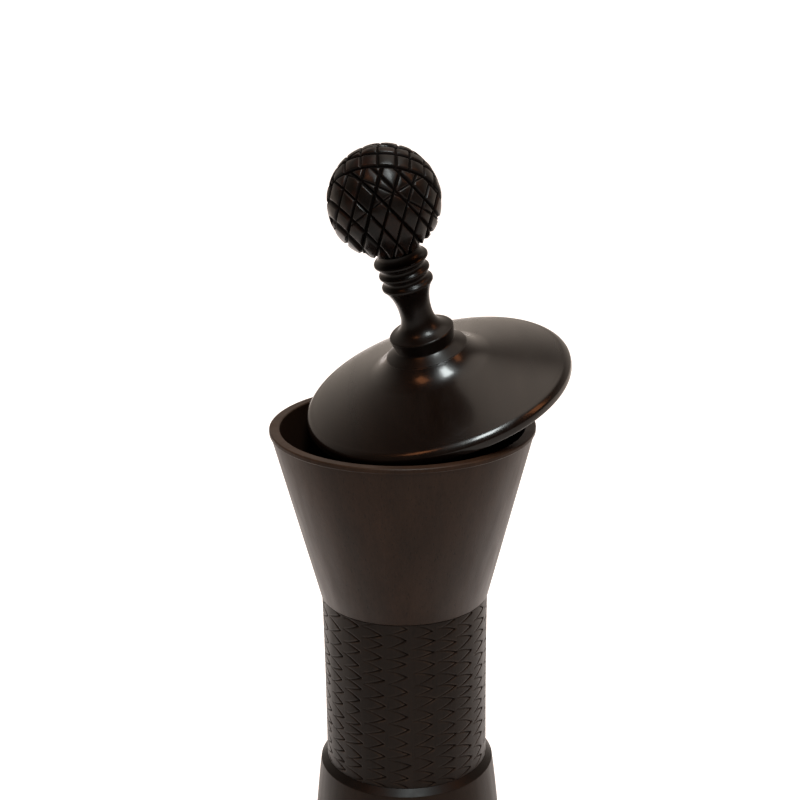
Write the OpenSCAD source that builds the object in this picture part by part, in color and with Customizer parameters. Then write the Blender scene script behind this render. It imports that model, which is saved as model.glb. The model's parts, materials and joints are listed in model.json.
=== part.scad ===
// Turned wooden pepper mill with a loose, knob-handled lid. Millimetres, +Z up,
// origin at the middle of the foot. The lid is drawn lifted out of its seat and
// leaning in the mouth of the cup.

/* [Body] */
// Height from the foot to the flat rim
body_h = 200; // [190:1:210]
// Outer diameter of the rim
rim_d = 80; // [78:0.5:84]
// Thickness of the wall at the rim
rim_wall = 3.2; // [2.8:0.1:3.6]
// Height of the conical cup
cup_h = 54.4; // [52:0.2:58]
// Diameter at the foot of the cup
cup_foot_d = 51.8; // [51.4:0.1:53]
// Diameter of the pepper bore
bore_d = 32; // [30:0.5:33]
// Widest diameter of the foot
foot_d = 73; // [71:0.5:78]

/* [Grip] */
// Height of the carved grip
grip_h = 54.9; // [50:0.1:58]
// Diameter at the top of the grip
grip_top_d = 51.2; // [50.6:0.1:51.4]
// Diameter at the foot of the grip
grip_foot_d = 50.5; // [50:0.1:51]
// Diameter of the shoulder below the grip
shoulder_d = 54.5; // [54:0.1:56]
// Diameter of the glued tenons that join the turned pieces
tenon_d = 41.8; // [41:0.1:42.4]

/* [Lid] */
// Diameter of the lid
lid_d = 82.5; // [81:0.5:84]
// Thickness of the lid at its edge
lid_edge = 2.6; // [2:0.1:2.7]
// Depth of the lid below its edge plane
plug_depth = 9; // [8:0.1:9.2]
// Lean of the lifted lid
lid_lean = 17.8; // [12:0.1:18]
// Direction in which the lid leans
lean_dir = 217.3; // [0:0.1:360]
// Sideways shift of the lifted lid
lid_shift = 13.4; // [12:0.1:13.6]
// Height of the lifted lid's edge plane above the rim
lid_lift = 9.3; // [9:0.1:11]

/* [Knob] */
// Diameter of the ball
ball_d = 33.5; // [31:0.5:35]
// Height of the ball's middle above the lid's edge plane
ball_h = 62; // [61:0.5:64]
// Diameter of the collar
collar_d = 20; // [19:0.2:20.4]
// Diameter of the neck
neck_d = 9.7; // [9:0.1:10.4]
// Diameter of the dowel between the ball and the stem
dowel_d = 6; // [5:0.5:6.5]

/* [Drive] */
// Diameter of the shaft
shaft_d = 6; // [5.8:0.1:6.2]
// Thickness of the tang on top of the shaft
tang_t = 3; // [2.4:0.1:3]
// Width across the square part of the shaft
square_w = 4.2; // [3.8:0.1:4.2]
// Diameter of the threaded end
thread_d = 4; // [3.6:0.1:4.1]
// Radial clearance of a running fit
running_gap = 0.05; // [0.02:0.01:0.08]

/* [Burrs] */
// Outer diameter of the burr housing
housing_d = 39.2; // [38.8:0.1:39.4]
// Bottom diameter of the rotating burr
rotor_d = 26; // [25:0.1:26.4]
// Number of teeth on the rotating burr
rotor_teeth = 16; // [10:1:20]
// Number of teeth in the fixed burr
stator_teeth = 24; // [16:1:30]
// Diameter of the adjusting nut
nut_d = 19; // [16:0.5:20]

/* [Hidden] */

$fn = 64;
wood = "#2b1d17";
steel = "#9a9da0";
brass = "#b08d4a";

glue_gap = 0.05;          // radial gap of glued and screwed joints
crease_z = body_h - cup_h;             // foot of the cup
shoulder_z = crease_z - grip_h;        // top face of the lower body
shoulder_drop = 1.9;                   // height of the bevel round the shoulder
tenon_h = 14;
tenon_r = tenon_d / 2;
bore_r = bore_d / 2;
rim_r = rim_d / 2;
rim_inner_r = rim_r - rim_wall;
cup_floor_z = crease_z + 4;            // ledge that carries the bridge
cup_floor_r = cup_foot_d / 2 - 2.9;

recess_r = 26;                         // recess under the foot
recess_h = 12;
housing_r = housing_d / 2;
housing_top = 31;
housing_wall = 1;
flange_r = 24.5;
plate_t = 1.5;                         // sheet thickness of flange, ring and spiders
ring_z = recess_h - 2 * plate_t;       // underside of the retaining ring
stator_z = recess_h - plate_t;
hub_r = 5.5;
screw_r = 1.2;
housing_screw_circle = 22.2;
bridge_screw_circle = 18.7;
bridge_hub_top = cup_floor_z + 6.5;

shaft_r = shaft_d / 2;
shaft_foot = 4.2;
square_foot = 13.8;
square_top = 29;
tang_top = body_h - 9.4;
tang_h = 13;
washer_t = 0.8;
clip_z = bridge_hub_top + washer_t + 0.1;

rotor_z = 11;
rotor_h = 17;
spring_pocket_z = rotor_z + 8;
spring_top = housing_top - plate_t - washer_t;
spring_r = 4.3;
spring_wire = 0.8;
spring_turns = 5;

lid_r = lid_d / 2;
stem_foot_r = 12.4;
stem_foot_h = 13.2;
stem_top = ball_h - ball_d / 2 + 1.25;
stem_tenon_r = 6;
stem_tenon_h = 10.5;
collar_h = 15.4;                       // underside of the collar above the edge plane
plug_r = 30;
socket_r = 6.5;
socket_foot = -19.2;
socket_flange_r = 12;

// ---------- shared shapes ----------

// Point at t on a cubic curve through a and d, pulled towards b and c
function bez(a, b, c, d, t) =
    pow(1 - t, 3) * a + 3 * pow(1 - t, 2) * t * b + 3 * (1 - t) * t * t * c + t * t * t * d;
// Points of that curve, n steps, both ends included
function curve(a, b, c, d, n = 10) = [for (i = [0:n]) bez(a, b, c, d, i / n)];
// Points of an arc: middle (x, y), radius r, angles from the +Y side, both ends included
function arc(x, y, r, a0, a1, n = 4) =
    [for (i = [0:n]) let (a = a0 + (a1 - a0) * i / n) [x + r * sin(a), y + r * cos(a)]];

module turned(points) {
    rotate_extrude() polygon(points);
}

module tube(r_out, r_in, z0, z1) {
    translate([0, 0, z0]) difference() {
        cylinder(r = r_out, h = z1 - z0);
        translate([0, 0, -1]) cylinder(r = r_in, h = z1 - z0 + 2);
    }
}

module around(count, r, turn = 0) {
    for (i = [0:count - 1]) rotate([0, 0, turn + i * 360 / count]) translate([r, 0, 0]) children();
}

// Domed screw, head down: the head's seat is at z = 0 and the shank goes up
module screw(head_r, head_h, shank_r, shank_h) {
    translate([0, 0, -head_h]) difference() {
        union() {
            cylinder(r1 = head_r - 0.6, r2 = head_r, h = 0.6, $fn = 32);
            translate([0, 0, 0.6]) cylinder(r = head_r, h = head_h - 0.6, $fn = 32);
            translate([0, 0, head_h]) cylinder(r = shank_r, h = shank_h - 1, $fn = 32);
            translate([0, 0, head_h + shank_h - 1]) cylinder(r1 = shank_r, r2 = 0.3, h = 1, $fn = 32);
        }
        translate([-head_r, -0.25, -1]) cube([2 * head_r, 0.5, 1 + head_h / 2]);
    }
}

// Ring, three arms and a bearing hub in one sheet
module spider(ring_out, ring_in, z, hub_top, arm_w) {
    difference() {
        union() {
            tube(ring_out, ring_in, z, z + plate_t);
            for (i = [0:2]) rotate([0, 0, 60 + i * 120])
                translate([hub_r - 1, -arm_w / 2, z]) cube([ring_in - hub_r + 1.6, arm_w, plate_t]);
            translate([0, 0, z]) cylinder(r = hub_r, h = hub_top - z);
        }
        translate([0, 0, z - 1]) cylinder(r = shaft_r + running_gap, h = hub_top - z + 2);
    }
}

// Carries the lid's own frame, edge plane at z = 0, to where the lifted lid leans
module leaning() {
    rotate([0, 0, lean_dir]) translate([-lid_shift, 0, body_h + lid_lift])
        rotate([0, lid_lean, 0]) children();
}

// ---------- turned wooden body ----------

module hopper_cup() {
    foot_r = cup_foot_d / 2;
    lip_h = 1.5;
    step = 0.4;
    color(wood) difference() {
        turned([
            [bore_r, crease_z - tenon_h], [tenon_r - glue_gap - 0.6, crease_z - tenon_h],
            [tenon_r - glue_gap, crease_z - tenon_h + 0.6], [tenon_r - glue_gap, crease_z],
            [foot_r - 0.3, crease_z], [foot_r, crease_z + 0.4],
            [rim_r - step, body_h - lip_h], [rim_r, body_h - lip_h + 0.2],
            [rim_r, body_h - 0.4], [rim_r - 0.4, body_h],
            [rim_inner_r + 0.3, body_h], [rim_inner_r, body_h - 0.3],
            [cup_floor_r, cup_floor_z], [bore_r, cup_floor_z]]);
        around(3, bridge_screw_circle, 20) translate([0, 0, cup_floor_z - 10])
            cylinder(r = screw_r + glue_gap, h = 12, $fn = 32);
    }
}

module grip_sleeve() {
    top_r = grip_top_d / 2;
    foot_r = grip_foot_d / 2;
    waist_r = foot_r - 0.05;
    color(wood) turned(concat(
        [[bore_r, shoulder_z - tenon_h], [tenon_r - glue_gap - 0.6, shoulder_z - tenon_h],
         [tenon_r - glue_gap, shoulder_z - tenon_h + 0.6], [tenon_r - glue_gap, shoulder_z]],
        curve([foot_r, shoulder_z], [waist_r, shoulder_z + grip_h / 3],
              [waist_r, crease_z - grip_h / 3], [top_r, crease_z], 8),
        [[tenon_r, crease_z], [tenon_r, crease_z - tenon_h - 0.4],
         [bore_r, crease_z - tenon_h - 0.4]]));
}

module lower_body() {
    foot_r = foot_d / 2;
    cove_z = 9;
    color(wood) difference() {
        turned(concat(
            [[recess_r, 0], [foot_r - 2, 0]],
            [for (i = [0:6]) [foot_r - 1.6 + 1.6 * sin(i * 30), 3.8 - 3.8 * cos(i * 30)]],
            [[foot_r - 2.6, cove_z - 0.8], [foot_r - 1.6, cove_z]],
            curve([foot_r - 1.4, cove_z + 0.6], [foot_r - 5.0, 45],
                  [shoulder_d / 2 + 1.4, 79], [shoulder_d / 2, shoulder_z - shoulder_drop], 14),
            [[grip_foot_d / 2, shoulder_z], [tenon_r, shoulder_z],
             [tenon_r, shoulder_z - tenon_h - 0.4], [bore_r, shoulder_z - tenon_h - 0.4],
             [bore_r, housing_top + 0.2], [housing_r + 0.2, housing_top + 0.2],
             [housing_r + 0.2, recess_h], [recess_r, recess_h]]));
        around(3, housing_screw_circle) translate([0, 0, recess_h - 1])
            cylinder(r = screw_r + glue_gap, h = 10, $fn = 32);
    }
}

// ---------- bearings and burrs fixed to the body ----------

module shaft_bridge() {
    color(steel) difference() {
        spider(cup_floor_r - 0.4, bore_r, cup_floor_z, bridge_hub_top, 4);
        around(3, bridge_screw_circle, 20) translate([0, 0, cup_floor_z - 1])
            cylinder(r = screw_r + glue_gap, h = 4, $fn = 32);
    }
}

module bridge_screws() {
    color(steel) around(3, bridge_screw_circle, 20) translate([0, 0, cup_floor_z + plate_t])
        mirror([0, 0, 1]) screw(2.2, 1.4, screw_r, 10);
}

module burr_housing() {
    top_z = housing_top - plate_t;
    color(steel) difference() {
        union() {
            tube(flange_r, housing_r - 0.6, recess_h - plate_t, recess_h);
            tube(housing_r, housing_r - housing_wall, recess_h - plate_t, housing_top);
            spider(housing_r - 0.2, bore_r, top_z, housing_top + 4.5, 5);
        }
        around(3, housing_screw_circle) translate([0, 0, recess_h - plate_t - 1])
            cylinder(r = screw_r + glue_gap, h = 4, $fn = 32);
    }
}

module stator_burr() {
    outer_r = housing_r - housing_wall - 0.1;
    top = housing_top - plate_t - 1.3;
    waist_r = rotor_d / 2 - 1;
    waist_z = stator_z + 7.4;
    color(steel) difference() {
        turned([[rotor_d / 2 + 0.9, stator_z], [outer_r, stator_z], [outer_r, top],
                [rotor_d / 2 + 2.2, top], [waist_r, waist_z]]);
        around(stator_teeth, waist_r + 0.6) translate([-1, -0.4, waist_z - 1]) rotate([0, 18, 0])
            cube([1.6, 0.8, top]);
        around(stator_teeth, waist_r) translate([0, 0, stator_z - 1]) rotate([0, -14, 0])
            translate([0.9, -0.3, 0]) cube([1, 0.6, 8]);
    }
}

module retaining_ring() {
    color(steel) difference() {
        tube(flange_r, rotor_d / 2 + 2.2, ring_z, ring_z + plate_t);
        around(3, housing_screw_circle) translate([0, 0, ring_z - 1])
            cylinder(r = screw_r + glue_gap, h = 4, $fn = 32);
    }
}

module housing_screws() {
    color(steel) around(3, housing_screw_circle) translate([0, 0, ring_z])
        screw(2.2, 1.4, screw_r, 11.5);
}

// ---------- shaft ----------

module drive_shaft() {
    color(steel) difference() {
        union() {
            translate([0, 0, shaft_foot]) cylinder(r1 = thread_d / 2 - 0.4, r2 = thread_d / 2, h = 0.4);
            translate([0, 0, shaft_foot + 0.4])
                cylinder(r = thread_d / 2, h = square_foot - shaft_foot - 0.4);
            translate([-square_w / 2, -square_w / 2, square_foot])
                cube([square_w, square_w, square_top - square_foot]);
            translate([0, 0, square_top]) cylinder(r = shaft_r, h = tang_top - square_top);
        }
        rotate([0, 0, lean_dir]) for (side = [0, 180]) rotate([0, 0, side])
            translate([-shaft_d, tang_t / 2, tang_top - tang_h]) cube([2 * shaft_d, shaft_d, tang_h + 1]);
        tube(shaft_r + 1, shaft_r - 0.5, clip_z, clip_z + washer_t);
    }
}

module shaft_washer() {
    color(steel) tube(6, shaft_r + running_gap, bridge_hub_top, bridge_hub_top + washer_t);
}

module shaft_clip() {
    color(steel) difference() {
        tube(5, shaft_r - 0.45, clip_z + 0.05, clip_z + washer_t - 0.05);
        translate([0, -1.5, clip_z - 1]) cube([6, 3, 3]);
    }
}

module spring_washer() {
    color(steel) tube(5, shaft_r + running_gap, spring_top, spring_top + washer_t);
}

// Coil spring: a ring of points carried up a helix, closed turns drawn in at both ends
module rotor_spring() {
    sides = 8;
    steps = 80;
    wire_r = spring_wire / 2;
    low = spring_pocket_z + wire_r;
    high = spring_top - wire_r;
    function rise(t) = low + (high - low) * (t < 0.15 ? t / 3 : t > 0.85 ? 0.95 + (t - 0.85) / 3
        : 0.05 + (t - 0.15) * 0.9 / 0.7);
    function ring(i) = let (t = i / steps, a = t * 360 * spring_turns)
        [for (k = [0:sides - 1]) let (b = k * 360 / sides, r = spring_r + wire_r * cos(b))
            [r * cos(a), r * sin(a), rise(t) + wire_r * sin(b)]];
    points = [for (i = [0:steps]) each ring(i)];
    sleeve = [for (i = [0:steps - 1], k = [0:sides - 1]) let (n = (k + 1) % sides)
        [i * sides + k, (i + 1) * sides + k, (i + 1) * sides + n, i * sides + n]];
    first = [[for (k = [0:sides - 1]) k]];
    last = [[for (k = [0:sides - 1]) steps * sides + sides - 1 - k]];
    color(steel) polyhedron(points, concat(sleeve, first, last));
}

// ---------- adjustable burr ----------

module rotor_burr() {
    foot_r = rotor_d / 2;
    color(steel) difference() {
        turned([[0, rotor_z], [foot_r, rotor_z], [foot_r - 0.3, rotor_z + 2], [foot_r - 3, rotor_z + 9],
                [6.8, rotor_z + rotor_h], [0, rotor_z + rotor_h]]);
        translate([-square_w / 2 - 0.1, -square_w / 2 - 0.1, rotor_z - 1])
            cube([square_w + 0.2, square_w + 0.2, rotor_h]);
        translate([0, 0, spring_pocket_z]) cylinder(r = 5.4, h = rotor_h);
        around(rotor_teeth, foot_r - 0.5) translate([0, 0, rotor_z - 1]) rotate([0, -20, 0])
            rotate([24, 0, 0]) translate([-0.7, -0.5, 0]) cube([3, 1, rotor_h]);
    }
}

module adjuster_nut() {
    foot_z = 5.2;
    rim_top = 9.4;
    flutes = 24;
    color(brass) difference() {
        union() {
            translate([0, 0, foot_z]) cylinder(r1 = nut_d / 2 - 0.6, r2 = nut_d / 2, h = 0.6);
            translate([0, 0, foot_z + 0.6]) cylinder(r = nut_d / 2, h = rim_top - foot_z - 0.6);
            translate([0, 0, rim_top]) cylinder(r = thread_d / 2 + 2.2, h = rotor_z - rim_top);
        }
        translate([0, 0, foot_z - 1]) cylinder(r = thread_d / 2 + running_gap, h = rotor_z);
        around(flutes, nut_d / 2 + 0.35) translate([0, 0, foot_z - 1])
            cylinder(r = 0.75, h = rim_top, $fn = 16);
    }
}

// ---------- head: lid, knob and drive socket ----------

module lid() {
    color(wood) leaning() difference() {
        turned(concat(
            [[0, stem_foot_h - 1.5], [stem_foot_r - 1, stem_foot_h - 1.5], [stem_foot_r - 1, stem_foot_h]],
            curve([stem_foot_r, stem_foot_h], [16.5, 9.2], [28, 5.6], [lid_r - 2.1, 1.78], 14),
            arc(lid_r - 3.28, -1.63, 3.6, 24, 58), arc(lid_r - 0.9, -0.37, 0.9, 66, 90, 2),
            [[lid_r, -1.7], [lid_r - 0.25, -2.3], [lid_r - 0.9, -lid_edge], [lid_r - 1.5, -lid_edge],
             [plug_r + 0.6, -plug_depth + 0.4], [plug_r - 0.4, -plug_depth], [0, -plug_depth]]));
        translate([0, 0, stem_foot_h - 1.5 - stem_tenon_h])
            cylinder(r = stem_tenon_r + glue_gap, h = stem_tenon_h + 2);
        translate([0, 0, -plug_depth - 1]) cylinder(r = 4.5, h = 4.8);
        translate([0, 0, -plug_depth]) cylinder(r = 2.1, h = 20);
        socket_screw_places() cylinder(r = 1.05, h = 9.5, $fn = 32);
    }
}

module finial_stem() {
    collar_r = collar_d / 2;
    neck_r = neck_d / 2;
    tenon_foot = stem_foot_h - 1.4 - stem_tenon_h;
    color(wood) leaning() difference() {
        turned(concat(
            [[0, tenon_foot], [stem_tenon_r - 0.5, tenon_foot], [stem_tenon_r, tenon_foot + 0.5],
             [stem_tenon_r, stem_foot_h - 1.4], [stem_foot_r - 1.1, stem_foot_h - 1.4],
             [stem_foot_r - 1.1, stem_foot_h + 0.05]],
            curve([stem_foot_r - 0.1, stem_foot_h + 0.1], [stem_foot_r - 1, 13.8], [10.2, 14.3],
                  [collar_r - 0.8, collar_h - 0.4], 4),
            [[collar_r - 0.95, collar_h - 0.1], [collar_r - 0.25, collar_h + 3.2],
             [collar_r - 0.15, collar_h + 3.7], [collar_r - 0.4, collar_h + 4]],
            curve([collar_r - 0.9, collar_h + 4.2], [collar_r - 3.1, collar_h + 5],
                  [neck_r, collar_h + 7.2], [neck_r, collar_h + 10.4], 8),
            curve([neck_r, collar_h + 11], [neck_r, collar_h + 14.5],
                  [neck_r + 1, collar_h + 17.5], [7.3, 34.9], 6),
            [[7.7, 35.3], [7.7, 35.9]], curve([7.4, 36.3], [6.3, 37], [6.3, 38], [7.3, 38.9], 6),
            [[7.6, 39.2], [7.6, 39.7]], curve([7.3, 40.1], [6.4, 40.8], [6.4, 41.9], [7.7, 42.8], 6),
            [[8.1, 43.1], [8.1, 43.6]], curve([7.8, 44], [6.6, 44.5], [6.3, 45.2], [6.2, stem_top - 0.1], 4),
            [[6, stem_top], [0, stem_top]]));
        translate([0, 0, stem_top - 9]) cylinder(r = dowel_d / 2 + glue_gap, h = 10);
        translate([0, 0, tenon_foot - 1]) cylinder(r = 2.1, h = 20.1);
    }
}

module ball_knob() {
    color(wood) leaning() difference() {
        translate([0, 0, ball_h]) sphere(r = ball_d / 2);
        translate([0, 0, stem_top - 10]) cylinder(r = 12, h = 10);
        translate([0, 0, stem_top - 1]) cylinder(r = dowel_d / 2 + glue_gap, h = 10.2);
    }
}

module knob_dowel() {
    color(wood) leaning() translate([0, 0, stem_top - 8.8]) cylinder(r = dowel_d / 2, h = 17.8);
}

module stem_screw() {
    color(steel) leaning() translate([0, 0, -plug_depth + 3.7]) screw(4, 3.2, 2, 25);
}

module socket_screw_places() {
    for (s = [-1, 1]) translate([0, s * 9, -plug_depth - 1]) children();
}

module drive_socket() {
    slot_w = tang_t + 0.4;
    slot_roof = -12.6;
    color(steel) leaning() difference() {
        union() {
            translate([0, 0, -plug_depth - plate_t]) cylinder(r = socket_flange_r, h = plate_t);
            translate([0, 0, socket_foot]) cylinder(r1 = socket_r - 0.6, r2 = socket_r, h = 0.6);
            translate([0, 0, socket_foot + 0.6])
                cylinder(r = socket_r, h = -plug_depth - plate_t - socket_foot - 0.6);
        }
        translate([-10, -slot_w / 2, socket_foot - 1]) cube([20, slot_w, slot_roof - socket_foot + 1]);
        translate([0, 0, -plate_t]) socket_screw_places() cylinder(r = 1.05, h = 4, $fn = 32);
    }
}

module socket_screws() {
    color(steel) leaning() translate([0, 0, 1 - plate_t]) socket_screw_places() screw(1.9, 1.2, 1, 8);
}

hopper_cup();
grip_sleeve();
lower_body();
shaft_bridge();
bridge_screws();
burr_housing();
stator_burr();
retaining_ring();
housing_screws();
drive_shaft();
shaft_washer();
shaft_clip();
spring_washer();
rotor_spring();
rotor_burr();
adjuster_nut();
lid();
finial_stem();
ball_knob();
knob_dowel();
stem_screw();
drive_socket();
socket_screws();
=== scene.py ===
"""Looks of the turned pepper mill: carved grip and ball, turned wood, plain steel, soft studio light."""

import json
import math

import bpy
import bmesh
import numpy as np
from mathutils import Matrix, Vector


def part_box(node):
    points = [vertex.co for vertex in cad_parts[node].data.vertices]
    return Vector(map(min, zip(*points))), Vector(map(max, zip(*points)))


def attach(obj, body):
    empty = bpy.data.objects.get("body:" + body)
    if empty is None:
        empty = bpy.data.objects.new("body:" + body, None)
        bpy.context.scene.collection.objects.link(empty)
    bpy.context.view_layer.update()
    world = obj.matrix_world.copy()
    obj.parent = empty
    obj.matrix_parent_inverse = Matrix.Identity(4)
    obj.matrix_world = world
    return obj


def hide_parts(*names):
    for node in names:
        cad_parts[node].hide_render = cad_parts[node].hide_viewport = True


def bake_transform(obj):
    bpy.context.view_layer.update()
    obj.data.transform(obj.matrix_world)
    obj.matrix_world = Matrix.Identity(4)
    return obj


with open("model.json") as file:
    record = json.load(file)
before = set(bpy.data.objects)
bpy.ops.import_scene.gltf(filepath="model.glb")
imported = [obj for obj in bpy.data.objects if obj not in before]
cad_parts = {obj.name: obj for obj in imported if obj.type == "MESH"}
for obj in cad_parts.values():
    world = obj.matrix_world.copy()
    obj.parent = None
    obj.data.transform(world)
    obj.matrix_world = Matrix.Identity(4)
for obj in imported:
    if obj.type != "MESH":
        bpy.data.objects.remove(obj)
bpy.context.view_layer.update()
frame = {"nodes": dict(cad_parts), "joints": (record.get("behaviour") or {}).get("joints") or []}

MM = 0.001
RANGE_SOCKETS = ("From Min", "From Max", "To Min", "To Max")
FINE_TURNS = 384                  # facets round the big turned pieces
STEM_TURNS = 192
CAMERA_PITCH = math.radians(17.7)

# ---------- places, from the frame ----------

RIM_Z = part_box("hopper_cup")[1].z
RIM_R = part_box("hopper_cup")[1].x
CREASE_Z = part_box("grip_sleeve")[1].z
SHOULDER_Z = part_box("lower_body")[1].z
FOOT_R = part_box("lower_body")[1].x
BORE_R = 16 * MM
TENON_R = 20.9 * MM
TENON_H = 14 * MM

LID_SEAT = 5.6 * MM               # edge plane of the closed lid above the rim
LID_R = 41.25 * MM
BALL_H = 62 * MM                  # middle of the ball above the lid's edge plane
BALL_R = 16.75 * MM
STEM_TOP = BALL_H - BALL_R + 1.25 * MM
BALL_CUT = 0.036                  # depth and half width of a cut in the ball, as a share of its radius
DEEP_CUT = (0.074, 0.873, -0.454)  # square to the ball's deepest cut: right, up and towards the front

swing = next(j for j in frame["joints"] if j["name"] == "lid_swing")
pivot = Vector(swing["pos_m"])
lean = math.radians(-swing["range_deg"][0])
# The lid's own frame, edge plane at z = 0, carried from its seat to where it leans
LID = (Matrix.Translation(pivot) @ Matrix.Rotation(lean, 4, Vector(swing["axis"]))
       @ Matrix.Translation(Vector((0, 0, RIM_Z + LID_SEAT)) - pivot))


# ---------- outlines ----------

def curve(a, b, c, d, n):
    """Points of a cubic curve from a to d, pulled towards b and c."""
    points = []
    for i in range(n + 1):
        t = i / n
        w = ((1 - t) ** 3, 3 * (1 - t) ** 2 * t, 3 * (1 - t) * t * t, t ** 3)
        points.append(tuple(w[0] * a[k] + w[1] * b[k] + w[2] * c[k] + w[3] * d[k] for k in (0, 1)))
    return points


def arc(x, y, r, a0, a1, n=8):
    """Points of an arc round (x, y), angles in degrees from the upward side."""
    angles = [math.radians(a0 + (a1 - a0) * i / n) for i in range(n + 1)]
    return [(x + r * math.sin(a), y + r * math.cos(a)) for a in angles]


def eased(points, radius, n=4):
    """A closed outline with every sharp corner rounded to about radius, and held by points beside it."""
    result = []
    count = len(points)
    for i, here in enumerate(points):
        p = Vector(here)
        before = Vector(points[i - 1]) - p
        after = Vector(points[(i + 1) % count]) - p
        bend = math.pi - before.angle(after, math.pi)
        room = min(before.length, after.length)
        if bend < math.radians(24) or p.x < 1e-7:
            result.append(tuple(p))
            continue
        cut = min(radius * math.tan(bend / 2), room * 0.4)
        hold = min(cut * 2.2, room * 0.48)
        a = p + before.normalized() * cut
        b = p + after.normalized() * cut
        result.append(tuple(p + before.normalized() * hold))
        for k in range(n + 1):
            t = k / n
            result.append(tuple(a * (1 - t) ** 2 + p * 2 * t * (1 - t) + b * t * t))
        result.append(tuple(p + after.normalized() * hold))
    return result


def scaled(points):
    """An outline written in millimetres, in metres."""
    return [(r * MM, z * MM) for r, z in points]


# ---------- meshes ----------

def add_object(name, mesh, body, matrix=None):
    piece = bpy.data.objects.new(name, mesh)
    bpy.context.scene.collection.objects.link(piece)
    if matrix is not None:
        piece.matrix_world = matrix
    mesh.shade_smooth()
    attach(piece, body)
    return piece


def ring_mesh(name, rings):
    """Closed mesh from rings of points, each an (n, 3) array; the last ring joins the first."""
    count = len(rings[0])
    rows = len(rings)
    points = np.vstack(rings)
    i = np.arange(rows)[:, None]
    j = np.arange(count)[None, :]
    up = (i + 1) % rows
    right = (j + 1) % count
    faces = np.stack([i * count + j, i * count + right, up * count + right, up * count + j], -1)
    mesh = bpy.data.meshes.new(name)
    mesh.from_pydata(points.tolist(), [], faces.reshape(-1, 4).tolist())
    mesh.update()
    return mesh


def lathe(name, outline, body, turns, matrix=None):
    """Turned piece from an outline of (radius, height) points, counter-clockwise, on or off the axis."""
    angle = np.linspace(0, 2 * math.pi, turns, endpoint=False)
    ring = np.stack([np.cos(angle), np.sin(angle), np.ones(turns)], 1)
    on_axis = outline[0][0] < 1e-7
    rings = [ring * (max(r, 0), max(r, 0), z) for r, z in outline]
    mesh = ring_mesh(name, rings)
    if on_axis:
        solid = bmesh.new()
        solid.from_mesh(mesh)
        bmesh.ops.remove_doubles(solid, verts=solid.verts, dist=1e-7)
        solid.to_mesh(mesh)
        solid.free()
    return add_object(name, mesh, body, matrix)


# ---------- materials ----------

class Nodes:
    """A node tree with short calls for the nodes that the materials use."""

    def __init__(self, name):
        self.material = bpy.data.materials.new(name)
        self.material.use_nodes = True
        self.tree = self.material.node_tree
        self.shader = self.tree.nodes["Principled BSDF"]
        self.place = self.add("ShaderNodeTexCoord").outputs["Object"]

    def add(self, kind, **values):
        node = self.tree.nodes.new(kind)
        for key, value in values.items():
            if hasattr(node, key):
                setattr(node, key, value)
            else:
                node.inputs[key].default_value = value
        return node

    def link(self, a, b):
        self.tree.links.new(a, b)

    def stretched(self, scale, turn=(0, 0, 0)):
        node = self.add("ShaderNodeMapping")
        node.inputs["Scale"].default_value = scale
        node.inputs["Rotation"].default_value = turn
        self.link(self.place, node.inputs["Vector"])
        return node.outputs["Vector"]

    def noise(self, scale, vector, detail=4.0, rough=0.55):
        node = self.add("ShaderNodeTexNoise", Scale=scale, Detail=detail, Roughness=rough)
        self.link(vector, node.inputs["Vector"])
        return node.outputs["Fac"]

    def spread(self, value, low, high, to_low=0.0, to_high=1.0):
        node = self.add("ShaderNodeMapRange")
        for key, number in zip(RANGE_SOCKETS, (low, high, to_low, to_high)):
            node.inputs[key].default_value = number
        self.link(value, node.inputs["Value"])
        return node.outputs["Result"]

    def blend(self, share, a, b, mode="MIX"):
        node = self.add("ShaderNodeMix", data_type="RGBA", blend_type=mode)
        for socket, value in ((node.inputs[0], share), (node.inputs[6], a), (node.inputs[7], b)):
            if isinstance(value, bpy.types.NodeSocket):
                self.link(value, socket)
            elif isinstance(value, tuple):
                socket.default_value = (*value, 1.0)
            else:
                socket.default_value = value
        return node.outputs[2]

    def math(self, operation, a, b):
        node = self.add("ShaderNodeMath", operation=operation)
        for socket, value in zip(node.inputs, (a, b)):
            if isinstance(value, bpy.types.NodeSocket):
                self.link(value, socket)
            else:
                socket.default_value = value
        return node.outputs[0]

    def bump(self, height, strength, distance, under=None):
        node = self.add("ShaderNodeBump", Strength=strength, Distance=distance)
        self.link(height, node.inputs["Height"])
        if under is not None:
            self.link(under, node.inputs["Normal"])
        return node.outputs["Normal"]


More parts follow.
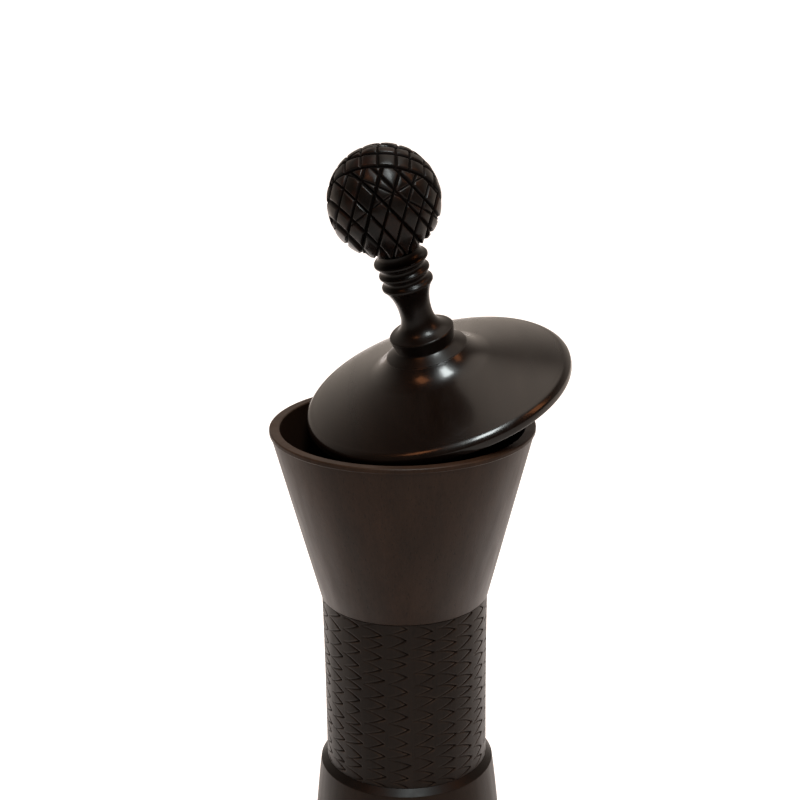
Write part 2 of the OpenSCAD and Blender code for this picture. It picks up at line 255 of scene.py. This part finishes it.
def stained_wood(name, dark, light, rough, coat=0.0, coat_rough=0.2, specular=0.5, across=False,
                 worn=None, grain_depth=0.03, pore_share=0.7, polish_and_shade=None, mottle=None):
    """Stained hardwood: long grain, pores, a little tone and sheen variation.

    worn is the tone of rubbed edges, on a piece with the attributes cut and edge; cut also darkens the
    wood in cuts and recesses, a painted shade. polish_and_shade is a height above which the wood is
    smoother and darker, the darkening a painted shade; mottle is the tone of uneven patches of the
    stain."""
    n = Nodes(name)
    along = (1.0, 0.06, 1.0) if across else (1.0, 1.0, 0.06)
    fibres = n.noise(1500.0, n.stretched(along), detail=6.0, rough=0.6)
    figure = n.noise(130.0, n.stretched(along), detail=3.0)
    clouds = n.noise(45.0, n.place, detail=3.0)
    pores = n.spread(n.noise(2600.0, n.stretched(along), detail=2.0), 0.60, 0.72)
    tone = n.math("ADD", n.math("MULTIPLY", figure, 0.6), n.math("MULTIPLY", fibres, 0.4))
    colour = n.blend(n.spread(tone, 0.35, 0.68), dark, light)
    colour = n.blend(n.spread(clouds, 0.35, 0.7, 0.0, 0.35), colour, tuple(c * 0.6 for c in dark))
    colour = n.blend(n.math("MULTIPLY", pores, pore_share), colour, tuple(c * 0.35 for c in dark))
    sheen = n.spread(n.noise(220.0, n.stretched(along), detail=4.0), 0.3, 0.7, rough[0], rough[1])
    n.shader.inputs["Specular IOR Level"].default_value = specular
    if mottle is not None:
        uneven = n.spread(n.noise(230.0, n.place, detail=3.0), 0.48, 0.66, 0.0, 0.7)
        colour = n.blend(uneven, colour, mottle)
    if worn is not None:
        cut = n.add("ShaderNodeAttribute", attribute_name="cut").outputs["Fac"]
        # Painted shade: wood in cuts and other recesses marked by the attribute cut is darkened, as if
        # in shadow.
        colour = n.blend(n.spread(cut, 0.15, 0.9, 0.0, 0.85), colour, tuple(c * 0.25 for c in dark))
        edge = n.add("ShaderNodeAttribute", attribute_name="edge").outputs["Fac"]
        patch = n.spread(n.noise(300.0, n.place), 0.4, 0.65)
        colour = n.blend(n.math("MULTIPLY", n.math("MULTIPLY", edge, patch), 0.6), colour, worn)
        sheen = n.math("ADD", sheen, n.spread(cut, 0.1, 0.8, 0.0, 0.3))
        n.link(n.spread(cut, 0.1, 0.8, specular, specular * 0.15), n.shader.inputs["Specular IOR Level"])
    if polish_and_shade is not None:
        split = n.add("ShaderNodeSeparateXYZ")
        n.link(n.place, split.inputs[0])
        share = n.spread(split.outputs["Z"], polish_and_shade, polish_and_shade + 0.4 * MM)
        # Painted shade: above that height the wood is also darkened, as if in shadow; on the base this
        # is the shoulder where the grip sits.
        colour = n.blend(share, colour, tuple(c * 0.3 for c in dark))
        sheen = n.math("SUBTRACT", sheen, n.math("MULTIPLY", share, rough[0] - 0.36))
    n.link(colour, n.shader.inputs["Base Color"])
    n.link(sheen, n.shader.inputs["Roughness"])
    n.shader.inputs["Coat Weight"].default_value = coat
    n.shader.inputs["Coat Roughness"].default_value = coat_rough
    rings = n.noise(900.0, n.stretched((0.03, 0.03, 1.0)), detail=2.0)
    fine = n.bump(fibres, 0.25, grain_depth * MM)
    fine = n.bump(rings, 0.12, grain_depth * MM, fine)
    fine = n.bump(n.math("MULTIPLY", pores, pore_share), 0.4, -grain_depth * MM, fine)
    n.link(fine, n.shader.inputs["Normal"])
    return n.material


def metal(name, colour, rough, brushed=(1.0, 1.0, 1.0), stain=(0.2, 0.17, 0.14), stain_share=0.25):
    """Metal with brushed or turned marks, and dull patches."""
    n = Nodes(name)
    lines = n.noise(2200.0, n.stretched(brushed), detail=5.0, rough=0.65)
    patches = n.noise(90.0, n.place, detail=5.0, rough=0.6)
    share = n.spread(patches, 0.48, 0.72, 0.0, stain_share)
    base = n.blend(n.spread(lines, 0.3, 0.7, 0.0, 0.35), colour, tuple(c * 0.7 for c in colour))
    n.link(n.blend(share, base, stain), n.shader.inputs["Base Color"])
    n.link(n.spread(patches, 0.3, 0.7, rough[0], rough[1]), n.shader.inputs["Roughness"])
    n.shader.inputs["Metallic"].default_value = 1.0
    n.link(n.bump(lines, 0.2, 0.02 * MM), n.shader.inputs["Normal"])
    return n.material


CUP_WOOD = stained_wood("cup_wood", (0.028, 0.0135, 0.0072), (0.052, 0.0250, 0.0136), (0.38, 0.48),
                        specular=0.20, worn=(0.070, 0.040, 0.026))
GRIP_WOOD = stained_wood("grip_wood", (0.011, 0.0060, 0.0036), (0.020, 0.0108, 0.0066), (0.38, 0.52),
                         specular=0.22, worn=(0.080, 0.048, 0.031))
# The base's shoulder is smoother, and darker as painted shade.
BASE_WOOD = stained_wood("base_wood", (0.015, 0.0074, 0.0040), (0.026, 0.0130, 0.0068), (0.40, 0.50),
                         specular=0.20, polish_and_shade=SHOULDER_Z - 2.1 * MM)
LID_WOOD = stained_wood("lid_wood", (0.0055, 0.0028, 0.0018), (0.0110, 0.0055, 0.0034), (0.21, 0.28),
                        specular=0.38, coat=0.3, coat_rough=0.12, across=True, grain_depth=0.008,
                        pore_share=0.15)
STEM_WOOD = stained_wood("stem_wood", (0.0045, 0.0023, 0.0014), (0.0085, 0.0042, 0.0026), (0.28, 0.36),
                         specular=0.22, coat=0.12, coat_rough=0.14, grain_depth=0.008, pore_share=0.15)
BALL_WOOD = stained_wood("ball_wood", (0.0032, 0.0021, 0.0016), (0.0085, 0.0054, 0.0039), (0.26, 0.42),
                         specular=0.30, worn=(0.055, 0.033, 0.024), mottle=(0.020, 0.0070, 0.0040),
                         grain_depth=0.020, pore_share=0.4)
BEECH = stained_wood("dowel_beech", (0.42, 0.27, 0.15), (0.62, 0.44, 0.27), (0.5, 0.65))
SHEET = metal("pressed_steel", (0.56, 0.56, 0.57), (0.28, 0.42), (1.0, 0.08, 1.0))
ZINC = metal("zinc_screws", (0.60, 0.58, 0.52), (0.30, 0.45), (0.4, 0.4, 1.0))
BURR = metal("burr_steel", (0.24, 0.24, 0.25), (0.35, 0.55), (1.0, 1.0, 0.2), stain_share=0.5)
TURNED = metal("turned_steel", (0.60, 0.60, 0.61), (0.18, 0.32), (0.05, 0.05, 1.0))
WIRE = metal("spring_wire", (0.42, 0.42, 0.44), (0.25, 0.38), (1.0, 1.0, 0.3))
BRASS = metal("nut_brass", (0.78, 0.56, 0.24), (0.24, 0.40), (0.1, 0.1, 1.0), (0.30, 0.19, 0.08), 0.35)


def mark(mesh, **fields):
    """Keeps values for each point of a mesh under a name that materials read."""
    for name, values in fields.items():
        field = mesh.attributes.new(name, "FLOAT", "POINT")
        field.data.foreach_set("value", np.asarray(values, np.float32).ravel())


def cloak(piece, material):
    piece.data.materials.clear()
    piece.data.materials.append(material)


# ---------- turned body ----------

def make_cup():
    foot_r = 25.9
    rim, inner, top = RIM_R / MM, RIM_R / MM - 3.2, RIM_Z / MM
    crease = CREASE_Z / MM
    floor_r, floor_z = foot_r - 2.9, crease + 4
    tenon = TENON_R / MM - 0.05
    outline = [(16, crease - 14), (tenon - 0.6, crease - 14), (tenon, crease - 13.4), (tenon, crease),
               (foot_r - 0.3, crease), (foot_r, crease + 0.4),
               (rim - 0.42, top - 1.55), (rim - 0.02, top - 1.3), (rim, top - 0.25), (rim - 0.35, top),
               (inner + 0.35, top), (inner, top - 0.35), (floor_r, floor_z), (16, floor_z)]
    piece = lathe("cup", eased(scaled(outline), 0.25 * MM), "mill_body", FINE_TURNS)
    place = np.array([v.co for v in piece.data.vertices])
    wall = np.interp(place[:, 2], (floor_z * MM, RIM_Z), (floor_r * MM, inner * MM))
    inside = (np.hypot(place[:, 0], place[:, 1]) < wall + 0.2 * MM) & (place[:, 2] < RIM_Z - 0.3 * MM)
    # Painted shade: the cup's inside is marked as cut, so its wood is darkened as if in shadow.
    mark(piece.data, cut=inside * (place[:, 2] > crease * MM), edge=np.zeros(len(place)))
    cloak(piece, CUP_WOOD)
    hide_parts("hopper_cup")


def make_base():
    foot = FOOT_R / MM
    top = SHOULDER_Z / MM
    bevel = top - 1.9
    bead_r, bead_h = 1.6, 3.8
    turns = [math.pi * i / 10 for i in range(9)]
    rounded_foot = [(foot - bead_r + bead_r * math.sin(a), bead_h - bead_h * math.cos(a)) for a in turns]
    outline = [(26, 0), (foot - 2, 0)]
    outline += rounded_foot
    outline += [(foot - 2.6, 8.2), (foot - 1.6, 9)]
    outline += curve((foot - 1.4, 9.6), (foot - 5.0, 45), (28.65, 79), (27.25, bevel), 28)
    outline += [(25.25, top), (20.9, top), (20.9, top - 14.4), (16, top - 14.4), (16, 31.2),
                (19.8, 31.2), (19.8, 12), (26, 12)]
    piece = lathe("base", eased(scaled(outline), 0.3 * MM), "mill_body", FINE_TURNS)
    cloak(piece, BASE_WOOD)
    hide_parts("lower_body")


# ---------- carved grip ----------

GRIP_COLUMNS = 21
SCALE_PITCH = 4.1 * MM
SCALE_REACH = 6.2 * MM            # how far a scale's tip stands from its root
CUT_DEPTH = 0.42 * MM
CUT_WIDTH = 0.34 * MM             # half width of a cut at the tip


def carve(depth, u, v, path, widths, depths):
    """Presses a V-shaped cut along path into depth, a grid over the coordinates u and v."""
    for k in range(len(path) - 1):
        a, b = np.array(path[k]), np.array(path[k + 1])
        reach = max(widths[k], widths[k + 1])
        i0, i1 = np.searchsorted(v, (min(a[1], b[1]) - reach, max(a[1], b[1]) + reach))
        j0, j1 = np.searchsorted(u, (min(a[0], b[0]) - reach, max(a[0], b[0]) + reach))
        if i0 >= i1 or j0 >= j1:
            continue
        x, y = np.meshgrid(u[j0:j1], v[i0:i1])
        d = b - a
        t = np.clip(((x - a[0]) * d[0] + (y - a[1]) * d[1]) / max(d @ d, 1e-18), 0, 1)
        off = np.hypot(x - a[0] - t * d[0], y - a[1] - t * d[1])
        width = widths[k] + (widths[k + 1] - widths[k]) * t
        deep = depths[k] + (depths[k + 1] - depths[k]) * t
        here = depth[i0:i1, j0:j1]
        np.maximum(here, deep * np.clip(1 - off / width, 0, 1), out=here)


def scale_cuts(dice, low, high, around):
    """Two curved cuts for each scale, which meet in its deeper tip; rows drift as if cut by hand."""
    cuts = []
    for column in range(GRIP_COLUMNS):
        left = (column + dice.uniform(-0.06, 0.06)) * around / GRIP_COLUMNS
        z = low + dice.uniform(-0.5, 0.5) * SCALE_PITCH
        wander = dice.uniform(-0.25, 0.25) * MM
        while z < high + SCALE_PITCH:
            pitch = SCALE_PITCH * dice.uniform(0.82, 1.12)
            drift = wander * math.sin(z * 60.0)
            root = left + drift + dice.uniform(-0.5, 0.5) * MM
            tip = (left + drift + SCALE_REACH * dice.uniform(0.9, 1.08),
                   z + dice.uniform(-0.45, 0.45) * MM)
            for side in (1, -1):
                start = (root + dice.uniform(-0.3, 0.3) * MM,
                         z + side * pitch * dice.uniform(0.46, 0.56))
                bulge = pitch * (0.10 if side > 0 else 0.03)
                shares = [k / 7 for k in range(8)]
                path = [(start[0] + (tip[0] - start[0]) * t,
                         start[1] + (tip[1] - start[1]) * t + side * bulge * math.sin(math.pi * t))
                        for t in shares]
                strength = dice.uniform(0.75, 1.1)
                widths = [CUT_WIDTH * (0.5 + 0.5 * t) for t in shares]
                depths = [CUT_DEPTH * strength * (0.32 + 0.68 * t ** 1.5) for t in shares]
                cuts.append((path, widths, depths))
            z += pitch
    return cuts


def make_grip():
    low, high = SHOULDER_Z, CREASE_Z
    top_r, foot_r, waist_r = 25.6 * MM, 25.25 * MM, 25.2 * MM
    around = 2 * math.pi * foot_r
    columns = 700
    rows = 240
    u = np.linspace(0, around, columns, endpoint=False)
    v = np.linspace(low, high, rows)
    depth = np.zeros((rows, columns))
    dice = np.random.default_rng(7)
    for path, widths, depths in scale_cuts(dice, low, high, around):
        for shift in (-around, 0, around):
            moved = [(x + shift, y) for x, y in path]
            if max(p[0] for p in moved) > -MM and min(p[0] for p in moved) < around + MM:
                carve(depth, u, v, moved, widths, depths)
    keep = np.clip(np.minimum(v - low, high - v) / (0.5 * MM), 0, 1)[:, None]
    depth *= keep
    side = np.array(curve((foot_r, low), (waist_r, low + (high - low) / 3),
                          (waist_r, high - (high - low) / 3), (top_r, high), 40))
    radius = np.interp(v, side[:, 1], side[:, 0])
    angle = u / foot_r
    ring = np.stack([np.cos(angle), np.sin(angle)], 1)

    def level(r, z):
        flat = ring * (r if np.isscalar(r) else r[:, None])
        return np.column_stack([flat, np.full(columns, z)])

    rings = [level(BORE_R, low - TENON_H), level(TENON_R - 0.65 * MM, low - TENON_H),
             level(TENON_R - 0.05 * MM, low - TENON_H + 0.6 * MM), level(TENON_R - 0.05 * MM, low)]
    first = len(rings)
    rings += [level(radius[i] - depth[i], v[i]) for i in range(rows)]
    rings += [level(TENON_R, high), level(TENON_R, high - TENON_H - 0.4 * MM),
              level(BORE_R, high - TENON_H - 0.4 * MM)]
    mesh = ring_mesh("grip", rings)
    # The cut depth also sets painted shade: the material darkens the wood in the cuts as if in shadow.
    cut = np.zeros((len(rings), columns))
    cut[first:first + rows] = depth / CUT_DEPTH
    near = (-2, -1, 0, 1, 2)
    blur = sum(np.roll(np.roll(cut, a, 0), b, 1) for a in near for b in near) / len(near) ** 2
    edge = np.clip((blur - cut) * 4, 0, 1)
    mark(mesh, cut=cut, edge=edge)
    piece = add_object("grip", mesh, "mill_body")
    cloak(piece, GRIP_WOOD)
    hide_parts("grip_sleeve")


# ---------- head ----------

def make_lid():
    edge = LID_R / MM
    top = 13.2
    outline = [(0, top - 1.5), (11.4, top - 1.5), (11.4, top - 0.05)]
    outline += curve((12.35, top - 0.2), (13.7, 11.4), (15.4, 9.7), (18.4, 8.5), 18)
    outline += curve((18.5, 8.46), (25, 6.4), (33, 4.3), (edge - 2.1, 1.75), 24)
    outline += arc(edge - 3.28, -1.63, 3.6, 22, 56) + arc(edge - 1.4, -0.47, 1.4, 60, 90, 6)
    outline += [(edge, -1.6), (edge - 0.2, -2.2), (edge - 0.8, -2.6), (edge - 1.5, -2.6),
                (30.6, -8.6), (29.6, -9), (0, -9)]
    outline = outline[::-1]
    piece = lathe("lid_disc", eased(scaled(outline), 0.25 * MM), "head", FINE_TURNS, LID)
    cloak(piece, LID_WOOD)
    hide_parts("lid")


def make_stem():
    lip, neck, c = 9.85, 4.85, 15.4
    top = STEM_TOP / MM
    outline = [(0, 1.3), (5.5, 1.3), (6, 1.8), (6, 11.8), (11.3, 11.8), (11.3, 12.9)]
    outline += curve((12.3, 13.05), (11.3, 13.7), (10.2, 14.35), (9.2, c - 0.3), 8)
    outline += [(lip - 0.8, c - 0.1), (lip - 0.1, c + 3.2), (lip, c + 3.7), (lip - 0.25, c + 4)]
    outline += curve((lip - 0.7, c + 4.15), (lip - 3.2, c + 4.75), (neck, c + 6.6), (neck, c + 10.4), 16)
    outline += curve((neck, c + 11), (neck, c + 14.5), (neck + 1, c + 17.5), (7.3, 34.9), 14)
    outline += [(7.7, 35.3), (7.7, 35.9)] + curve((7.4, 36.3), (6.3, 37), (6.3, 38), (7.3, 38.9), 12)
    outline += [(7.6, 39.2), (7.6, 39.7)] + curve((7.3, 40.1), (6.4, 40.8), (6.4, 41.9), (7.7, 42.8), 12)
    outline += [(8.1, 43.1), (8.1, 43.6)]
    outline += curve((7.8, 44), (6.6, 44.5), (6.3, 45.2), (6.2, top - 0.1), 8)
    outline += [(6, top), (0, top)]
    outline = outline[::-1]
    piece = lathe("stem", eased(scaled(outline), 0.18 * MM, 3), "head", STEM_TURNS, LID)
    cloak(piece, STEM_WOOD)
    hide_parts("finial_stem")


def ball_cuts():
    """Directions square to the cuts and the sines of their places, for one side of the ball.

    The upper part is cut into squares and the lower part into diamonds, as seen from that side."""
    upper = [(DEEP_CUT, (0.04, 0.33, 0.57, 0.77, 0.92), 1.25),
             ((1.0, 0.0, 0.0), (-0.87, -0.66, -0.38, -0.09, 0.20, 0.46, 0.70, 0.88), 0.8)]
    lower = [((0.70, 0.70, 0.0), (-0.90, -0.68, -0.40, -0.10, 0.19, 0.46, 0.72, 0.9), 1.0),
             ((0.959, -0.283, 0.0), (-0.92, -0.70, -0.43, -0.15, 0.15, 0.43, 0.68, 0.88), 1.0)]
    star = [((0.42, 0.90, 0.0), (0.08,), 0.8), ((-0.55, 0.83, 0.0), (-0.12,), 0.6)]
    return upper, lower, star


def make_ball():
    solid = bmesh.new()
    bmesh.ops.create_icosphere(solid, subdivisions=8, radius=1.0)
    mesh = bpy.data.meshes.new("ball")
    solid.to_mesh(mesh)
    solid.free()
    co = np.zeros(len(mesh.vertices) * 3)
    mesh.vertices.foreach_get("co", co)
    co = co.reshape(-1, 3)
    # Right, up and towards the front, in the ball's own frame
    to_ball = LID.to_3x3().inverted()
    right = np.array(to_ball @ Vector((1, 0, 0)))
    up = np.array(to_ball @ Vector((0, math.sin(CAMERA_PITCH), math.cos(CAMERA_PITCH))))
    front = np.array(to_ball @ Vector((0, -math.cos(CAMERA_PITCH), math.sin(CAMERA_PITCH))))
    behind = co @ np.array([front[0], front[1], 0]) < 0
    point = np.where(behind[:, None], co * (-1, -1, 1), co)
    depth = np.zeros(len(co))
    swell = np.zeros(len(co))
    dice = np.random.default_rng(3)
    upper, lower, star = ball_cuts()
    split = sum(share * axis for share, axis in zip(DEEP_CUT, (right, up, front)))
    split /= np.linalg.norm(split)
    above = point @ split
    middle = (above < 0.02) & (np.abs(point @ up) < 0.5)
    for families, inside in ((upper, above > -0.02), (lower, above < 0.04), (star, middle)):
        for direction, places, strength in families:
            square = direction[0] * right + direction[1] * up + direction[2] * front
            square /= np.linalg.norm(square)
            for place in places:
                tilt = square + dice.uniform(-0.02, 0.02, 3)
                tilt /= np.linalg.norm(tilt)
                off = np.abs(point @ tilt - place)
                wide = BALL_CUT * strength * dice.uniform(0.8, 1.2)
                deep = BALL_CUT * strength * dice.uniform(0.85, 1.15)
                cut = deep * np.clip(1.25 - 1.25 * off / wide, 0, 1)
                depth = np.maximum(depth, cut * inside)
                swell = np.maximum(swell, np.clip(1 - off / 0.15, 0, 1) ** 2 * inside)
    groove = depth.copy()
    for _ in range(9):
        heading = dice.normal(size=3)
        heading *= dice.uniform(8, 17) / np.linalg.norm(heading)
        depth += 0.0012 * (1 + np.sin(point @ heading + dice.uniform(0, 2 * math.pi)))
    depth += 0.010 * swell
    radius = BALL_R * (1 - depth)
    co = co * radius[:, None]
    co[:, 2] = np.maximum(co[:, 2], STEM_TOP - BALL_H)
    co[:, 2] += BALL_H
    mesh.vertices.foreach_set("co", co.ravel())
    mesh.update()
    # The groove depth also sets painted shade: the material darkens the wood in the grooves as if in
    # shadow.
    mark(mesh, cut=groove / BALL_CUT, edge=np.clip(swell - 0.55, 0, 0.2) * 5 * (groove < 0.006))
    piece = add_object("ball", mesh, "head", LID)
    cloak(piece, BALL_WOOD)
    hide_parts("ball_knob")


# ---------- spring ----------

SPRING_TURNS = 5
SPRING_WIRE = 0.4 * MM            # radius of the wire


def make_spring():
    """Coil spring with closed ends: its top stays on the washer and its foot rides on the burr."""
    low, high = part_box("rotor_spring")
    coil = high.x - SPRING_WIRE
    steps, sides = 240, 16
    t = np.linspace(0, 1, steps + 1)
    climb = np.interp(t, (0, 0.15, 0.85, 1), (0, 0.05, 0.95, 1))
    middle = low.z + SPRING_WIRE + (high.z - low.z - 2 * SPRING_WIRE) * climb
    turn = 2 * math.pi * SPRING_TURNS * t[:, None]
    around = 2 * math.pi * np.arange(sides)[None, :] / sides
    radius = coil + SPRING_WIRE * np.cos(around)
    points = np.stack([radius * np.cos(turn), radius * np.sin(turn),
                       middle[:, None] + SPRING_WIRE * np.sin(around)], -1).reshape(-1, 3)
    faces = []
    for i in range(steps):
        for k in range(sides):
            n = (k + 1) % sides
            faces.append((i * sides + k, (i + 1) * sides + k, (i + 1) * sides + n, i * sides + n))
    faces.append(tuple(range(sides)))
    faces.append(tuple(reversed(range(steps * sides, (steps + 1) * sides))))
    mesh = bpy.data.meshes.new("spring")
    mesh.from_pydata(points.tolist(), [], faces)
    mesh.update()
    mesh.shade_smooth()
    piece = bpy.data.objects.new("spring", mesh)
    bpy.context.scene.collection.objects.link(piece)
    cloak(piece, WIRE)
    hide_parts("rotor_spring")
    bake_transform(piece)


# ---------- metal and dowel, on the CAD nodes ----------

FINISHES = {
    "shaft_bridge": SHEET, "burr_housing": SHEET, "retaining_ring": SHEET,
    "bridge_screws": ZINC, "housing_screws": ZINC, "socket_screws": ZINC, "stem_screw": ZINC,
    "stator_burr": BURR, "rotor_burr": BURR,
    "drive_shaft": TURNED, "shaft_washer": TURNED, "spring_washer": TURNED, "drive_socket": TURNED,
    "shaft_clip": WIRE, "adjuster_nut": BRASS, "knob_dowel": BEECH,
}


def finish_nodes():
    for name, material in FINISHES.items():
        for place in frame["nodes"][name].material_slots:
            place.material = material


# ---------- studio ----------

FRONT_GLOW = 0.10                 # floor, far in front
WALL_FRONT = 0.04
WALL_BACK = 0.62
PATCH = 1.1                       # bright patch of the ceiling


def make_floor():
    """Paper sweep that glows, painted light: bright behind the mill, dim in front of it, and dimmer and
    warmer to the sides.
    """
    mesh = bpy.data.meshes.new("floor")
    half = 6.0
    corners = [(-half, -half, 0), (half, -half, 0), (half, half, 0), (-half, half, 0)]
    mesh.from_pydata(corners, [], [(0, 1, 2, 3)])
    floor = bpy.data.objects.new("floor", mesh)
    bpy.context.scene.collection.objects.link(floor)
    n = Nodes("floor_paper_glow")
    tooth = n.noise(400.0, n.place, detail=3.0)
    n.link(n.blend(tooth, (0.60, 0.59, 0.58), (0.64, 0.63, 0.62)), n.shader.inputs["Base Color"])
    n.shader.inputs["Roughness"].default_value = 0.9
    n.shader.inputs["Specular IOR Level"].default_value = 0.1
    split = n.add("ShaderNodeSeparateXYZ")
    n.link(n.place, split.inputs[0])
    # Painted light: the floor's own glow, bright behind the mill, dim in front, dimmer and warmer to the
    # sides.
    glow = n.spread(split.outputs["Y"], -0.08, 0.11, FRONT_GLOW, 1.0)
    aside = n.math("SUBTRACT", n.math("ABSOLUTE", split.outputs["X"], 0.0),
                   n.math("MULTIPLY", split.outputs["Y"], 0.25))
    glow = n.math("MULTIPLY", glow, n.spread(aside, 0.17, 0.30, 1.0, 0.40))
    n.link(glow, n.shader.inputs["Emission Strength"])
    warm = n.spread(aside, 0.17, 0.30)
    n.link(n.blend(warm, (1.18, 1.06, 1.0), (1.18, 0.96, 0.80)), n.shader.inputs["Emission Color"])
    mesh.materials.append(n.material)


def area_light(name, place, target, size, power, colour):
    data = bpy.data.lights.new(name, "AREA")
    data.shape = "RECTANGLE"
    data.size, data.size_y = size
    data.energy = power
    data.color = colour
    light = bpy.data.objects.new(name, data)
    light.location = place
    light.rotation_euler = (Vector(target) - Vector(place)).to_track_quat("-Z", "Y").to_euler()
    bpy.context.scene.collection.objects.link(light)


def polar(distance, azimuth, height):
    """A place round the mill; azimuth from the front, positive to the right, and height, in degrees."""
    a, h = math.radians(azimuth), math.radians(height)
    x = distance * math.cos(h) * math.sin(a)
    y = -distance * math.cos(h) * math.cos(a)
    return (x, y, distance * math.sin(h) + RIM_Z)


def towards(azimuth, height):
    """The direction of such a place from the mill."""
    return Vector(polar(1.0, azimuth, height)) - Vector((0, 0, RIM_Z))


def make_world():
    """Bright behind, dim in front, a dark ceiling with one bright patch behind on the right."""
    world = bpy.data.worlds.new("studio")
    bpy.context.scene.world = world
    world.use_nodes = True
    tree = world.node_tree
    tree.nodes.clear()

    def math_node(operation, a, b):
        node = tree.nodes.new("ShaderNodeMath")
        node.operation = operation
        for socket, value in zip(node.inputs, (a, b)):
            if isinstance(value, bpy.types.NodeSocket):
                tree.links.new(value, socket)
            else:
                socket.default_value = value
        return node.outputs[0]

    def ramp(value, low, high, to_low, to_high):
        node = tree.nodes.new("ShaderNodeMapRange")
        for key, number in zip(RANGE_SOCKETS, (low, high, to_low, to_high)):
            node.inputs[key].default_value = number
        tree.links.new(value, node.inputs["Value"])
        return node.outputs["Result"]

    out = tree.nodes.new("ShaderNodeOutputWorld")
    back = tree.nodes.new("ShaderNodeBackground")
    place = tree.nodes.new("ShaderNodeTexCoord").outputs["Generated"]
    split = tree.nodes.new("ShaderNodeSeparateXYZ")
    tree.links.new(place, split.inputs[0])
    aside = tree.nodes.new("ShaderNodeVectorMath")
    aside.operation = "DOT_PRODUCT"
    tree.links.new(place, aside.inputs[0])
    aside.inputs[1].default_value = towards(150, 68)
    behind = ramp(split.outputs["Y"], -0.1, 1.0, WALL_FRONT, WALL_BACK)
    low = ramp(split.outputs["Z"], 0.45, 0.85, 1.0, 0.08)
    patch = ramp(aside.outputs["Value"], 0.90, 0.975, 0.0, PATCH)
    tree.links.new(math_node("ADD", math_node("MULTIPLY", behind, low), patch), back.inputs["Strength"])
    back.inputs["Color"].default_value = (1.0, 0.86, 0.74, 1)
    tree.links.new(back.outputs[0], out.inputs["Surface"])


def make_lights():
    middle = (0, 0, RIM_Z)
    area_light("key", polar(1.2, 14, 66), middle, (0.26, 0.48), 10.8, (0.93, 1.0, 1.0))
    area_light("warm_right", polar(1.2, 78, 45), middle, (0.25, 0.55), 1.3, (1.0, 0.36, 0.14))
    area_light("warm_left", polar(1.2, -52, 52), middle, (0.26, 0.34), 1.0, (1.0, 0.36, 0.14))


def make_camera():
    data = bpy.data.cameras.new("camera")
    data.sensor_width = 36
    data.lens = 74.8
    camera = bpy.data.objects.new("camera", data)
    bpy.context.scene.collection.objects.link(camera)
    roll, distance = math.radians(-0.77), 12.42 * RIM_R
    aim = Vector((-0.016 * RIM_R, 0, RIM_Z + 0.187 * RIM_R))
    camera.location = aim + distance * Vector((0, -math.cos(CAMERA_PITCH), math.sin(CAMERA_PITCH)))
    face = Matrix.Rotation(math.radians(90) - CAMERA_PITCH, 4, "X") @ Matrix.Rotation(roll, 4, "Z")
    camera.rotation_euler = face.to_euler()
    bpy.context.scene.camera = camera


make_camera()
make_cup()
make_base()
make_grip()
make_lid()
make_stem()
make_ball()
make_spring()
finish_nodes()
make_floor()
make_world()
make_lights()
bpy.context.scene.view_settings.view_transform = "Standard"
